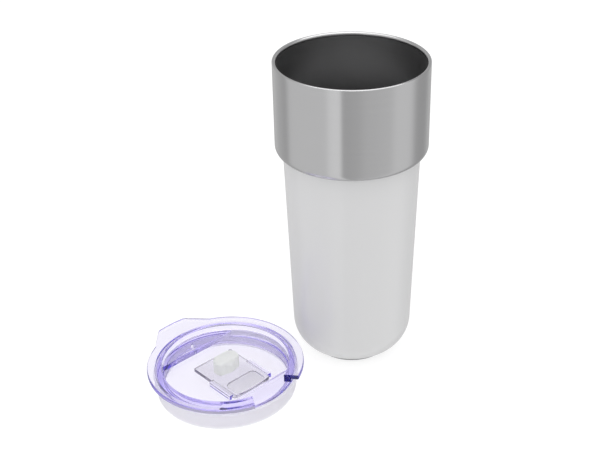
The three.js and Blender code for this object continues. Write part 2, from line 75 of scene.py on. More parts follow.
camera_data = bpy.data.cameras.new("camera")
camera_data.lens = LENS
camera_data.sensor_width = 36
camera_data.shift_x = SIDE_SHIFT
camera = bpy.data.objects.new("camera", camera_data)
camera.location = (0, -CAMERA_DISTANCE, CAMERA_HEIGHT)
camera.rotation_euler = (math.radians(CAMERA_PITCH), 0, 0)
scene.collection.objects.link(camera)
scene.camera = camera
print("camera at", tuple(round(v, 3) for v in camera.location))

# %% [markdown]
# ## Sizes taken from the frame
# The lid's axis is the middle of its sleeve, and the shutter slides along the joint's axis, so
# both come from the frame. The remaining sizes are those of the drawing, in millimetres.

# %% Where the lid lies
sleeve_low, sleeve_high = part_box("lid_sleeve")
LID_X = (sleeve_low.x + sleeve_high.x) / 2 / MM
LID_Y = (sleeve_low.y + sleeve_high.y) / 2 / MM
slide = next(j for j in frame["joints"] if j["name"] == "shutter_slide")["axis"]
LID_TURN = math.atan2(-slide[1], -slide[0])
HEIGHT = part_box("collar_shell")[1].z / MM
RIM_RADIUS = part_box("collar_shell")[1].x / MM
COLLAR_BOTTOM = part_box("collar_shell")[0].z / MM
LID_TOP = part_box("lid_body")[1].z / MM
print(f"lid at {LID_X:.2f}, {LID_Y:.2f} mm, turned {math.degrees(LID_TURN):.1f} degrees")

# %% [markdown]
# ## Making meshes from arrays
# Every new piece goes through one function: rows of points, rings of faces, smooth shading, and
# sharp edges only where two faces meet at a clear angle.

# %% Mesh helpers
SHARP = math.radians(32)


def new_piece(name, points, faces):
    """A mesh object from points in millimetres and faces as rows of corner numbers."""
    mesh = bpy.data.meshes.new(name)
    mesh.from_pydata(np.asarray(points) * MM, [], faces)
    mesh.validate()
    mesh.shade_smooth()
    mesh.set_sharp_from_angle(angle=SHARP)
    piece = bpy.data.objects.new(name, mesh)
    scene.collection.objects.link(piece)
    return piece


def grid_faces(rows, columns, wrap_rows=False, wrap_columns=False):
    """Corner numbers of the quads of a grid: each joins a point to the next in both directions."""
    r = np.arange(rows if wrap_rows else rows - 1)
    c = np.arange(columns if wrap_columns else columns - 1)
    r0, c0 = np.meshgrid(r, c, indexing="ij")
    r1, c1 = (r0 + 1) % rows, (c0 + 1) % columns
    quads = np.stack([r0 * columns + c0, r1 * columns + c0, r1 * columns + c1, r0 * columns + c1], -1)
    return quads.reshape(-1, 4)


def arc(cx, cz, radius, start, stop, steps):
    """Points of a circle about (cx, cz) between two angles: centre plus radius times cosine, sine."""
    turn = np.radians(np.linspace(start, stop, steps + 1))
    return np.stack([cx + radius * np.cos(turn), cz + radius * np.sin(turn)], -1)


def revolve(profile, turns):
    """Carries a closed (radius, height) profile round the Z axis.

    Point (i, j) is the profile's point i turned by j / turns of a full circle. A profile that
    starts and ends on the axis shares one point there; any other closes on itself.
    """
    profile = np.asarray(profile, float)
    capped = profile[0, 0] < 1e-9 and profile[-1, 0] < 1e-9
    body = profile[1:-1] if capped else profile
    turn = np.linspace(0, 2 * np.pi, turns, endpoint=False)
    r, z = body[:, 0, None], body[:, 1, None]
    points = np.stack([r * np.cos(turn), r * np.sin(turn), z + 0 * turn], -1).reshape(-1, 3)
    faces = grid_faces(len(body), turns, wrap_rows=not capped, wrap_columns=True)
    after = np.roll(profile, -1, 0)
    area = np.sum(profile[:, 0] * after[:, 1] - after[:, 0] * profile[:, 1])
    faces = faces.tolist()
    if capped:
        first, last = len(points), len(points) + 1
        points = np.vstack([points, [0, 0, profile[0, 1]], [0, 0, profile[-1, 1]]])
        ring = np.arange(turns)
        end = (len(body) - 1) * turns
        beside = (ring + 1) % turns
        faces += np.stack([np.full(turns, first), ring, beside], -1).tolist()
        faces += np.stack([np.full(turns, last), end + beside, end + ring], -1).tolist()
    if area > 0:
        faces = [face[::-1] for face in faces]
    return points, faces


def place_on_lid(points):
    """Turns points from the lid's own frame to the row frame, and moves them to the lid's axis."""
    c, s = math.cos(LID_TURN), math.sin(LID_TURN)
    points = np.asarray(points, float)
    x = LID_X + points[:, 0] * c - points[:, 1] * s
    y = LID_Y + points[:, 0] * s + points[:, 1] * c
    return np.stack([x, y, points[:, 2]], -1)


print("helpers ready")

# %% [markdown]
# ## Finishes
# Brushed steel, satin paint, rubber and plastic all have fine marks that break up a reflection.
# Two node groups hold them: one for marks that run round the tumbler's axis, as a brush on a
# lathe leaves them, and one for the faint unevenness of a sprayed or moulded surface. Both read
# Object coordinates, so the marks have their real size in metres.

# %% Node group: marks round the axis
# In metres: the heights of the finest marks, and the least radius that streaks are worked out for.
STREAK_HEIGHT = 0.00004
GRAIN_HEIGHT = 0.00005
NEAR_AXIS = 0.0005


def group_with(name, inputs, outputs):
    """A shader node group with named float inputs and outputs, and its two end nodes."""
    group = bpy.data.node_groups.new(name, "ShaderNodeTree")
    for label, value in inputs:
        socket = group.interface.new_socket(name=label, in_out="INPUT", socket_type="NodeSocketFloat")
        socket.default_value = value
    for label, kind in outputs:
        group.interface.new_socket(name=label, in_out="OUTPUT", socket_type=kind)
    return group, group.nodes.new("NodeGroupInput"), group.nodes.new("NodeGroupOutput")


def math_node(tree, operation, a, b=None, c=None):
    """A Math node: each of a, b and c is a number or the output it is linked to."""
    node = tree.nodes.new("ShaderNodeMath")
    node.operation = operation
    for socket, value in zip(node.inputs, (a, b, c)):
        if isinstance(value, (int, float)):
            socket.default_value = value
        elif value is not None:
            tree.links.new(value, socket)
    return node.outputs[0]


def noise_node(tree, vector, scale, detail):
    """A 3-D Noise texture's value at the vector that it is given."""
    node = tree.nodes.new("ShaderNodeTexNoise")
    node.inputs["Scale"].default_value = scale
    node.inputs["Detail"].default_value = detail
    tree.links.new(vector, node.inputs["Vector"])
    return node.outputs[0]


def turned_marks_group():
    """Streaks round Z: noise read at (x/r, y/r) times the reach and z times the fineness."""
    inputs = [("Reach", 1.2), ("Fineness", 2600.0), ("Depth", 0.1), ("Spread", 0.1)]
    outputs = [("Tone", "NodeSocketFloat"), ("Roughness Shift", "NodeSocketFloat"),
               ("Normal", "NodeSocketVector")]
    group, start, end = group_with("turned_marks", inputs, outputs)
    place = group.nodes.new("ShaderNodeTexCoord").outputs["Object"]
    split = group.nodes.new("ShaderNodeSeparateXYZ")
    group.links.new(place, split.inputs[0])
    x, y, z = split.outputs
    x_square = math_node(group, "MULTIPLY", x, x)
    y_square = math_node(group, "MULTIPLY", y, y)
    square = math_node(group, "ADD", x_square, y_square)
    radius = math_node(group, "MAXIMUM", math_node(group, "SQRT", square), NEAR_AXIS)
    around = group.nodes.new("ShaderNodeCombineXYZ")
    for axis, value in enumerate((x, y)):
        unit = math_node(group, "DIVIDE", value, radius)
        group.links.new(math_node(group, "MULTIPLY", unit, start.outputs["Reach"]), around.inputs[axis])
    across = math_node(group, "ADD", z, radius)
    fine = math_node(group, "MULTIPLY", across, start.outputs["Fineness"])
    group.links.new(fine, around.inputs[2])
    streak = noise_node(group, around.outputs[0], 1.0, 4.0)
    centred = math_node(group, "SUBTRACT", streak, 0.5)
    group.links.new(centred, end.inputs["Tone"])
    shift = math_node(group, "MULTIPLY", centred, start.outputs["Spread"])
    group.links.new(shift, end.inputs["Roughness Shift"])
    bump = group.nodes.new("ShaderNodeBump")
    bump.inputs["Distance"].default_value = STREAK_HEIGHT
    group.links.new(start.outputs["Depth"], bump.inputs["Strength"])
    group.links.new(streak, bump.inputs["Height"])
    group.links.new(bump.outputs[0], end.inputs["Normal"])
    return group


turned_marks = turned_marks_group()
print("group:", turned_marks.name)

# %% Node group: faint unevenness
def uneven_group():
    """A coarse and a fine 3-D noise: the coarse one wanders in tone, the fine one is a bump."""
    inputs = [("Grain", 900.0), ("Wander", 35.0), ("Depth", 0.1), ("Spread", 0.1)]
    outputs = [("Tone", "NodeSocketFloat"), ("Roughness Shift", "NodeSocketFloat"),
               ("Normal", "NodeSocketVector")]
    group, start, end = group_with("uneven_surface", inputs, outputs)
    place = group.nodes.new("ShaderNodeTexCoord").outputs["Object"]
    coarse = group.nodes.new("ShaderNodeTexNoise")
    fine = group.nodes.new("ShaderNodeTexNoise")
    for node, label, detail in ((coarse, "Wander", 2.0), (fine, "Grain", 2.0)):
        node.inputs["Detail"].default_value = detail
        group.links.new(place, node.inputs["Vector"])
        group.links.new(start.outputs[label], node.inputs["Scale"])
    centred = math_node(group, "SUBTRACT", coarse.outputs[0], 0.5)
    group.links.new(centred, end.inputs["Tone"])
    shift = math_node(group, "MULTIPLY", centred, start.outputs["Spread"])
    group.links.new(shift, end.inputs["Roughness Shift"])
    bump = group.nodes.new("ShaderNodeBump")
    bump.inputs["Distance"].default_value = GRAIN_HEIGHT
    group.links.new(start.outputs["Depth"], bump.inputs["Strength"])
    group.links.new(fine.outputs[0], bump.inputs["Height"])
    group.links.new(bump.outputs[0], end.inputs["Normal"])
    return group


uneven_surface = uneven_group()
print("group:", uneven_surface.name)

# %% [markdown]
# ## One recipe for all materials
# Each finish is a Principled shader whose constants sit on its own sockets. The group adds what
# varies: a little tone around the base colour, a little roughness, and the fine normal.

# %% Material recipe
def finish(name, group, colour, roughness, tone=0.1, marks=None, sockets=None, absorb=None):
    """A Principled material whose colour and roughness wander by what the group puts out.

    Colour is base times (1 + tone times the group's Tone); roughness is base plus its shift.
    absorb is (colour, density per metre) for light that travels through clear plastic.
    """
    material = bpy.data.materials.new(name)
    material.use_nodes = True
    tree = material.node_tree
    shader = tree.nodes["Principled BSDF"]
    surface = tree.nodes.new("ShaderNodeGroup")
    surface.node_tree = group
    for label, value in (marks or {}).items():
        surface.inputs[label].default_value = value
    gain = math_node(tree, "MULTIPLY_ADD", surface.outputs["Tone"], tone, 1.0)
    mix = tree.nodes.new("ShaderNodeVectorMath")
    mix.operation = "SCALE"
    mix.inputs[0].default_value = colour
    tree.links.new(gain, mix.inputs["Scale"])
    tree.links.new(mix.outputs[0], shader.inputs["Base Color"])
    rough = math_node(tree, "ADD", surface.outputs["Roughness Shift"], roughness)
    tree.links.new(rough, shader.inputs["Roughness"])
    tree.links.new(surface.outputs["Normal"], shader.inputs["Normal"])
    for label, value in (sockets or {}).items():
        shader.inputs[label].default_value = value
    if absorb:
        volume = tree.nodes.new("ShaderNodeVolumeAbsorption")
        volume.inputs["Color"].default_value = (*absorb[0], 1)
        volume.inputs["Density"].default_value = absorb[1]
        tree.links.new(volume.outputs[0], tree.nodes["Material Output"].inputs["Volume"])
    return material


METAL = {"Metallic": 1.0}
CLEAR = {"Transmission Weight": 1.0, "IOR": 1.54}
brushed_collar = finish("brushed_collar", turned_marks, (0.56, 0.56, 0.565), 0.23, 0.10,
                        {"Reach": 1.4, "Fineness": 3600.0, "Depth": 0.10, "Spread": 0.06},
                        {**METAL, "Anisotropic": 0.8, "Anisotropic Rotation": 0.25})
liner_steel = finish("liner_steel", turned_marks, (0.44, 0.44, 0.445), 0.34, 0.12,
                     {"Reach": 1.0, "Fineness": 2400.0, "Depth": 0.12, "Spread": 0.08}, METAL)
base_steel = finish("base_steel", uneven_surface, (0.5, 0.5, 0.51), 0.4, 0.2,
                    {"Grain": 1400.0, "Depth": 0.2, "Spread": 0.2}, METAL)
white_coat = finish("white_coat", uneven_surface, (0.68, 0.68, 0.685), 0.34, 0.02,
                    {"Grain": 1500.0, "Wander": 30.0, "Depth": 0.10, "Spread": 0.08},
                    {"Coat Weight": 0.5, "Coat Roughness": 0.12})
pad_rubber = finish("pad_rubber", uneven_surface, (0.24, 0.24, 0.25), 0.75, 0.25,
                    {"Grain": 2200.0, "Depth": 0.5, "Spread": 0.1})
seal_glass = finish("seal_glass", uneven_surface, (0.03, 0.032, 0.04), 0.15, 0.2,
                    {"Grain": 900.0, "Depth": 0.1, "Spread": 0.1})
getter_metal = finish("getter_metal", uneven_surface, (0.35, 0.35, 0.34), 0.6, 0.4,
                      {"Grain": 2600.0, "Depth": 0.6, "Spread": 0.2}, METAL)
clear_lid = finish("clear_lid", uneven_surface, (0.985, 0.98, 0.995), 0.03, 0.004,
                   {"Grain": 120.0, "Wander": 60.0, "Depth": 0.02, "Spread": 0.05}, CLEAR,
                   absorb=((0.40, 0.27, 0.96), 45.0))
clear_shutter = finish("clear_shutter", uneven_surface, (0.95, 0.945, 0.96), 0.08, 0.01,
                       {"Grain": 400.0, "Wander": 80.0, "Depth": 0.05, "Spread": 0.06}, CLEAR,
                       absorb=((0.40, 0.36, 0.50), 60.0))
frosted_grip = finish("frosted_grip", uneven_surface, (0.86, 0.87, 0.865), 0.42, 0.03,
                      {"Grain": 1600.0, "Wander": 70.0, "Depth": 0.2, "Spread": 0.12},
                      {"Transmission Weight": 0.5, "IOR": 1.45})
frosted_silicone = finish("frosted_silicone", uneven_surface, (0.84, 0.83, 0.88), 0.5, 0.02,
                          {"Grain": 1800.0, "Wander": 40.0, "Depth": 0.15, "Spread": 0.1},
                          {"Transmission Weight": 0.35, "IOR": 1.41})
print("finishes:", len(bpy.data.materials))

# %% [markdown]
# ## A piece joins the frame
# A finished piece gets its material, rides on a body and takes the place of its CAD node. CAD nodes that
# are right as they are only get a material.

# %% Joining the frame
def join_frame(piece, node, body, material):
    """Gives a piece its material and body, and hides the CAD node that it stands for."""
    piece.data.materials.clear()
    piece.data.materials.append(material)
    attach(piece, body)
    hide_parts(node)
    print(f"{piece.name}: {len(piece.data.polygons)} faces, stands for {node}")
    return piece


def paint_node(node, material):
    """Puts a material in the only slot of a CAD node."""
    mesh = frame["nodes"][node].data
    if not mesh.materials:
        mesh.materials.append(material)
    mesh.materials[0] = material


# %% [markdown]
# ## The collar
# The collar is a ring of steel sheet: its lip is rolled over the inner cup, and its lower edge is
# turned in towards the body. Sheet edges are never sharp, so the lip has a small rounding outside
# and a larger one inside, and light runs along it as a thin bright ring.

# %% Collar
SHEET = 0.7
LIP_WIDTH = 2.1
LIP_DEPTH = 1.8
LIP_ROUND = 0.7
LIP_INNER_ROUND = 1.3
COLLAR_ROUND = 4.1
MOUTH_RADIUS = RIM_RADIUS - LIP_WIDTH

lip_z = HEIGHT - LIP_ROUND
foot_r = RIM_RADIUS - COLLAR_ROUND
foot_z = COLLAR_BOTTOM + COLLAR_ROUND
collar_profile = np.vstack([
    arc(foot_r, foot_z, COLLAR_ROUND, -90, 0, 20),
    np.stack([np.full(20, RIM_RADIUS), np.linspace(foot_z, lip_z, 22)[1:-1]], -1),
    arc(RIM_RADIUS - LIP_ROUND, lip_z, LIP_ROUND, 0, 90, 8),
    arc(MOUTH_RADIUS + LIP_INNER_ROUND, HEIGHT - LIP_INNER_ROUND, LIP_INNER_ROUND, 90, 180, 12),
    [[MOUTH_RADIUS, HEIGHT - LIP_DEPTH], [RIM_RADIUS - SHEET, HEIGHT - LIP_DEPTH]],
    arc(foot_r, foot_z, COLLAR_ROUND - SHEET, 0, -90, 20),
])
collar = new_piece("steel_collar", *revolve(collar_profile, 256))
join_frame(collar, "collar_shell", "tumbler", brushed_collar)

# %% [markdown]
# ## The coated lower body
# Its wall leans in slightly and rounds into the foot. The rounding starts where the wall ends
# without a kink: the arc begins at the wall's own lean.

# %% Lower body
SHOULDER_RADIUS = 38.6
HEEL_RADIUS = 35.2
HEEL_ROUND = 19.2
FOOT_RADIUS = 24.6
TUCK = 3.2

slope = (SHOULDER_RADIUS - HEEL_RADIUS) / (COLLAR_BOTTOM - HEEL_ROUND)
lean = math.degrees(math.atan(slope))
heel_r = HEEL_RADIUS - HEEL_ROUND
foot_turn = -math.degrees(math.acos((FOOT_RADIUS - heel_r) / HEEL_ROUND))
top_r = SHOULDER_RADIUS + slope * TUCK
top_z = COLLAR_BOTTOM + TUCK
outer_heel = arc(heel_r, HEEL_ROUND, HEEL_ROUND, foot_turn, -lean, 40)
wall_z = np.linspace(outer_heel[-1, 1], top_z, 30)[1:]
wall_r = np.interp(wall_z, [outer_heel[-1, 1], top_z], [outer_heel[-1, 0], top_r])
body_profile = np.vstack([
    outer_heel,
    np.stack([wall_r, wall_z], -1),
    [[top_r - SHEET, top_z]],
    arc(heel_r, HEEL_ROUND, HEEL_ROUND - SHEET, -lean, foot_turn, 40),
])
body = new_piece("coated_body", *revolve(body_profile, 256))
join_frame(body, "body_shell", "tumbler", white_coat)

# %% [markdown]
# ## The inner cup
# Seen from above it is all one brushed surface: an upright mouth, an S-shaped step in to the
# narrower lower cup, a long taper and a rounded bottom. The step is a cosine, which starts and
# ends without a kink.

# %% Inner cup
LINER_SHEET = 0.6
WALL_SPACE = 2.6
LINER_ROUND = 15.0
NECK_RISE = 1.0
NECK_STEP = 13.0
LINER_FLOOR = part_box("liner_cup")[0].z / MM
LINER_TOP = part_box("liner_cup")[1].z / MM


def liner_line(outward):
    """The cup's inner line moved out by the sheet: floor, corner, taper, cosine step, mouth."""
    inset = SHEET + WALL_SPACE + LINER_SHEET
    neck, heel = SHOULDER_RADIUS - inset, HEEL_RADIUS - inset
    corner_z = LINER_FLOOR + LINER_SHEET + LINER_ROUND
    corner = arc(heel - LINER_ROUND, corner_z, LINER_ROUND + outward, -90, -lean, 30)
    t = np.linspace(0, 1, 33)
    step_r = neck + (MOUTH_RADIUS - neck) * (1 - np.cos(np.pi * t)) / 2 + outward
    step_z = COLLAR_BOTTOM + NECK_RISE + NECK_STEP * t - outward * np.sin(np.pi * t) / 2
    floor_r = np.linspace(0, heel - LINER_ROUND, 8)[:-1]
    floor = np.stack([floor_r, np.full(7, LINER_FLOOR + LINER_SHEET - outward)], -1)
    mouth = np.stack([np.full(8, MOUTH_RADIUS + outward), np.linspace(step_z[-1], LINER_TOP, 9)[1:]], -1)
    return np.vstack([floor, corner, np.stack([step_r, step_z], -1), mouth])


liner_profile = np.vstack([liner_line(LINER_SHEET), liner_line(0)[::-1]])
liner = new_piece("inner_cup", *revolve(liner_profile, 192))
join_frame(liner, "liner_cup", "tumbler", liner_steel)

# %% [markdown]
# ## Under the tumbler
# The rubber pad has a round groove and the base plate behind it is hidden, so their turned CAD
# shapes are right as they are and only need a finish.

# %% Pieces that keep their CAD shape
for node, material in (("base_plate", base_steel), ("vacuum_seal_bead", seal_glass),
                       ("getter_pill", getter_metal), ("base_pad", pad_rubber),
                       ("shutter_seal", frosted_silicone)):
    paint_node(node, material)
    print(f"{node}: keeps its drawn shape, finished as {material.name}")

# %% [markdown]
# ## Outlines and moulded prisms
# The lid's other pieces are flat mouldings: an outline pulled up, with its top and bottom edges
# rounded. Offsetting an outline moves each point along the mean of its two edges' normals.

# %% Outline helpers
def bezier(p0, p1, p2, steps=10):
    """A quadratic curve: (1-t)^2 p0 + 2t(1-t) p1 + t^2 p2, without its last point."""
    t = np.linspace(0, 1, steps + 1)[:-1, None]
    p0, p1, p2 = (np.asarray(p, float) for p in (p0, p1, p2))
    return (1 - t) ** 2 * p0 + 2 * t * (1 - t) * p1 + t ** 2 * p2


def offset(outline, distance):
    """Moves a counter-clockwise outline in by a distance, along the mean normal of its edges."""
    ahead = np.roll(outline, -1, 0) - outline
    ahead /= np.linalg.norm(ahead, axis=1, keepdims=True)
    behind = np.roll(ahead, 1, 0)
    mean = np.stack([-(ahead + behind)[:, 1], (ahead + behind)[:, 0]], -1)
    mean /= np.linalg.norm(mean, axis=1, keepdims=True)
    half_cosine = np.maximum(np.sum(mean * np.stack([-ahead[:, 1], ahead[:, 0]], -1), 1), 0.5)
    return outline + mean * (distance / half_cosine)[:, None]


def stacked(rows):
    """Closes a pile of equal outlines: quads between neighbours, and a face at each end."""
    count = len(rows[0])
    faces = grid_faces(len(rows), count, wrap_columns=True)[:, ::-1].tolist()
    top = (len(rows) - 1) * count
    faces += [list(range(count))[::-1], list(range(top, top + count))]
    return np.vstack(rows), faces


def rounded_block(x, length, width, corner, steps):
    """A rectangle about (x, 0) with round corners, as four quarter circles."""
    inner_x, inner_y = length / 2 - corner, width / 2 - corner
    corners = ((1, 1, 0), (-1, 1, 90), (-1, -1, 180), (1, -1, 270))
    return np.vstack([arc(x + sx * inner_x, sy * inner_y, corner, a, a + 90, steps)
                      for sx, sy, a in corners])


def prism(outline, low, high, edge=0.0, steps=4):
    """An outline pulled from low to high, its edges rounded by quarter circles of radius edge."""
    outline = np.asarray(outline, float)
    turn = np.linspace(0, np.pi / 2, steps + 1) if edge else np.zeros(1)
    inset = edge * (1 - np.sin(turn))
    drop = edge * (1 - np.cos(turn))
    rings = [(i, low + d) for i, d in zip(inset, drop)]
    rings += [(i, high - d) for i, d in zip(inset[::-1], drop[::-1])]
    return stacked([np.column_stack([offset(outline, i), np.full(len(outline), z)]) for i, z in rings])


def nosed_outline(rear, front, half, rear_edge, corner, bow):
    """A plate along X: bevelled rear corners, rounded front corners and a bowed front edge."""
    chord = front - bow
    return np.vstack([
        [[rear + rear_edge, -half]],
        bezier((chord - corner, -half), (chord, -half), (chord, corner - half)),
        bezier((chord, corner - half), (front + bow, 0), (chord, half - corner), 16),
        bezier((chord, half - corner), (chord, half), (chord - corner, half)),
        [[chord - corner, half], [rear + rear_edge, half]],
        [[rear, half - rear_edge], [rear, rear_edge - half]],
    ])


def carve(piece, others, operation):
    """Joins or cuts a piece with others by exact Booleans, and removes the others."""
    for other in others:
        modifier = piece.modifiers.new(other.name, "BOOLEAN")
        modifier.operation = operation
        modifier.solver = "EXACT"
        modifier.object = other
        finished = piece.evaluated_get(bpy.context.evaluated_depsgraph_get())
        shape = bpy.data.meshes.new_from_object(finished)
        piece.modifiers.clear()
        piece.data = shape
        bpy.data.objects.remove(other)
    piece.data.shade_smooth()
    piece.data.set_sharp_from_angle(angle=SHARP)
    return piece


print("moulding helpers ready")

# %% [markdown]
# ## The clear lid
# The lid is one moulding. Its round part is turned from a profile with rounded edges: the dished
# floor, the plug wall, the shoulder and the flange. The thumb tab is the same flange with its
# outer points moved out, so the edge's rounding runs on round the tab.

# %% Lid sizes
FLANGE_RADIUS = 44.8
FLANGE_LOW = 14.2
SHOULDER_LOW = 11.3
SHOULDER_R = 40.5
PLUG_RADIUS = 39.5
DISH_RADIUS = 36.5
DISH_TOP = 9.0
DISH_LOW = 7.0
PLUG_LOW = 2.0
SHELF_TOP = 12.0
SHELF_X = 25.9
TAB_REACH = 7.9
TAB_HALF = 10.0
TAB_CORNER = 2.3
TAB_ROOT_TURN = 27.0
FLANGE_EDGE = 0.8
SMALL_EDGE = 0.35
DISH_EDGE = 0.6
DISH_CORNER = 1.6
UNDER_CORNER = 1.0
FLOOR_RINGS = (0, 12, 24)


# %% The tab's outline as a radius for every direction
def tab_radius(turn):
    """The flange's outer radius in each direction: the tab's outline near -X, the circle elsewhere.

    The outline is four quadratic curves on each half: hollow side, corner, and half the end.
    """
    reach = FLANGE_RADIUS + TAB_REACH
    root = math.radians(TAB_ROOT_TURN)
    start = (-FLANGE_RADIUS * math.cos(root), FLANGE_RADIUS * math.sin(root))
    x, c = -math.sqrt(reach ** 2 - TAB_HALF ** 2), TAB_CORNER
    line = np.vstack([
        bezier(start, (x + 2.2 * c, TAB_HALF + 1.8 * c), (x + c, TAB_HALF + 0.6 * c), 60),
        bezier((x + c, TAB_HALF + 0.6 * c), (x, TAB_HALF), (x, TAB_HALF - c), 60),
        bezier((x, TAB_HALF - c), (-reach, 0), (x, c - TAB_HALF), 60)[:31],
    ])
    away = np.pi - np.arctan2(line[:, 1], line[:, 0])
    radius = np.hypot(line[:, 0], line[:, 1])
    order = np.argsort(away)
    from_tab = np.abs(np.pi - np.mod(turn, 2 * np.pi))
    return np.where(from_tab < root, np.interp(from_tab, away[order], radius[order]), FLANGE_RADIUS)


# %% Lid moulding
LID_TURNS = 360
flange_r = np.linspace(SHOULDER_R, FLANGE_RADIUS - FLANGE_EDGE, 5)
lid_profile = np.vstack([
    [[r, DISH_LOW] for r in FLOOR_RINGS],
    arc(DISH_RADIUS - UNDER_CORNER, DISH_LOW - UNDER_CORNER, UNDER_CORNER, 90, 0, 6),
    [[DISH_RADIUS, PLUG_LOW + SMALL_EDGE]],
    arc(DISH_RADIUS + SMALL_EDGE, PLUG_LOW + SMALL_EDGE, SMALL_EDGE, 180, 270, 4),
    arc(PLUG_RADIUS - SMALL_EDGE, PLUG_LOW + SMALL_EDGE, SMALL_EDGE, -90, 0, 4),
    [[PLUG_RADIUS, SHOULDER_LOW]],
    arc(SHOULDER_R - SMALL_EDGE, SHOULDER_LOW + SMALL_EDGE, SMALL_EDGE, -90, 0, 4),
    np.stack([flange_r, np.full(5, FLANGE_LOW)], -1),
    arc(FLANGE_RADIUS - FLANGE_EDGE, FLANGE_LOW + FLANGE_EDGE, FLANGE_EDGE, -90, 0, 8)[1:],
    arc(FLANGE_RADIUS - FLANGE_EDGE, LID_TOP - FLANGE_EDGE, FLANGE_EDGE, 0, 90, 8),
    np.stack([flange_r[::-1], np.full(5, LID_TOP)], -1)[1:],
    arc(DISH_RADIUS + DISH_EDGE, LID_TOP - DISH_EDGE, DISH_EDGE, 90, 180, 6),
    arc(DISH_RADIUS - DISH_CORNER, DISH_TOP + DISH_CORNER, DISH_CORNER, 0, -90, 8),
    [[r, DISH_TOP] for r in FLOOR_RINGS[::-1]],
])
points, faces = revolve(lid_profile, LID_TURNS)
turn = np.arctan2(points[:, 1], points[:, 0])
radius = np.hypot(points[:, 0], points[:, 1])
share = np.clip((radius - SHOULDER_R) / (FLANGE_RADIUS - FLANGE_EDGE - SHOULDER_R), 0, 1)
stretch = 1 + share * (tab_radius(turn) - FLANGE_RADIUS) / np.maximum(radius, 1)
points[:, :2] *= stretch[:, None]
clear = new_piece("clear_lid", points, faces)
print("turned lid:", len(points), "points")

# %% Shelves, rails and cuts
NOTCH_HALF = 12.5
NOTCH_FLARE = 0.68
NOTCH_TURN = 4.0
SHUTTER_FRONT = 24.8
SHUTTER_REAR = -12.8
SHUTTER_HALF = 13.6
SHUTTER_LOW = 9.6
SHUTTER_TOP = 11.7
TONGUE_TOP = 10.4
GAP = 0.3
RAIL_WALL = 1.3
RAIL_LIP = 1.3
RAIL_SETBACK = 3.2
RAIL_LENGTH = 18
RAIL_FRONT = SHUTTER_FRONT - RAIL_SETBACK
RAIL_REAR = RAIL_FRONT - RAIL_LENGTH
# The root of a shelf or rail goes down into the floor, and cutters reach past what they cut.
SHELF_EDGE = 0.4
SHELF_RUN_OUT = 1.4
SHELF_ROOT = 1.2
RAIL_ROOT = 1.0
CUT_PAST = 3.0
CUT_MARGIN = 2.0
NOTCH_FLOOR_LIFT = 0.02


def shelf(name, side):
    """A raised part of the dish floor beyond a chord, which runs out into the dish wall."""
    r = DISH_RADIUS + SHELF_RUN_OUT
    half = math.degrees(math.acos(SHELF_X / r))
    outline = arc(0, 0, r, side - half, side + half, 60)
    return new_piece(name, *prism(outline, DISH_TOP - SHELF_ROOT, SHELF_TOP, SHELF_EDGE))


def rail(name, side):
    """A rail beside the shutter: its wall and lip as an L-shaped outline carried along X."""
    wall, low, lip = SHUTTER_HALF + GAP, DISH_TOP - RAIL_ROOT, TONGUE_TOP + GAP
    outline = np.array([[wall, low], [wall + RAIL_WALL, low], [wall + RAIL_WALL, SHUTTER_TOP],
                        [wall - RAIL_LIP, SHUTTER_TOP], [wall - RAIL_LIP, lip], [wall, lip]])
    outline[:, 0] *= side
    if side < 0:
        outline = outline[::-1]
    shape, faces = prism(outline, RAIL_REAR, RAIL_FRONT)
    return new_piece(name, shape[:, [2, 0, 1]], faces)


def notch_tool():
    """The spout's cutter: its sides open outwards, and it is turned a little from the shutter."""
    start, end = SHELF_X, FLANGE_RADIUS + CUT_MARGIN
    wall_x = math.sqrt(DISH_RADIUS ** 2 - NOTCH_HALF ** 2)
    near, far = (NOTCH_HALF + NOTCH_FLARE * (x - wall_x) for x in (start, end))
    outline = np.array([[start, -near], [end, -far], [end, far], [start, near]])
    c, s = math.cos(math.radians(NOTCH_TURN)), math.sin(math.radians(NOTCH_TURN))
    turned = outline @ np.array([[c, s], [-s, c]])
    return new_piece("notch", *prism(turned, SHELF_TOP + NOTCH_FLOOR_LIFT, LID_TOP + CUT_PAST))


HOLE_LENGTH = 9.0
HOLE_WIDTH = 18.0
HOLE_CORNER = 4.05
HOLE_SETBACK = 3.0
HOLE_X = SHUTTER_FRONT - HOLE_LENGTH / 2 - HOLE_SETBACK
VENT_RADIUS = 0.8
VENT_X = 4.5 - DISH_RADIUS
hole_outline = rounded_block(HOLE_X, HOLE_LENGTH, HOLE_WIDTH, HOLE_CORNER, 12)
hole = new_piece("hole", *prism(hole_outline, DISH_LOW - CUT_PAST, DISH_TOP + CUT_MARGIN))
vent_outline = arc(VENT_X, 0, VENT_RADIUS, 0, 345, 23)
vent = new_piece("vent", *prism(vent_outline, DISH_LOW - CUT_PAST, SHELF_TOP + CUT_MARGIN))
shelves = [shelf("sill", 0), shelf("vent_shelf", 180)]
rails = [rail("rail_left", 1), rail("rail_right", -1)]
carve(clear, shelves + rails, "UNION")
carve(clear, [notch_tool(), hole, vent], "DIFFERENCE")


def onto_lid(piece):
    """Moves a piece's points from the lid's own frame to the row frame, all at once."""
    points = np.empty(len(piece.data.vertices) * 3)
    piece.data.vertices.foreach_get("co", points)
    moved = place_on_lid(points.reshape(-1, 3) / MM) * MM
    piece.data.vertices.foreach_set("co", moved.ravel())
    piece.data.update()
    return piece


join_frame(onto_lid(clear), "lid_body", "lid", clear_lid)

# %% [markdown]
# ## The sleeve
# The silicone sleeve grips the mouth. It is a soft ring with a taper, so it is turned like the
# tumbler's pieces, with rounded lips.

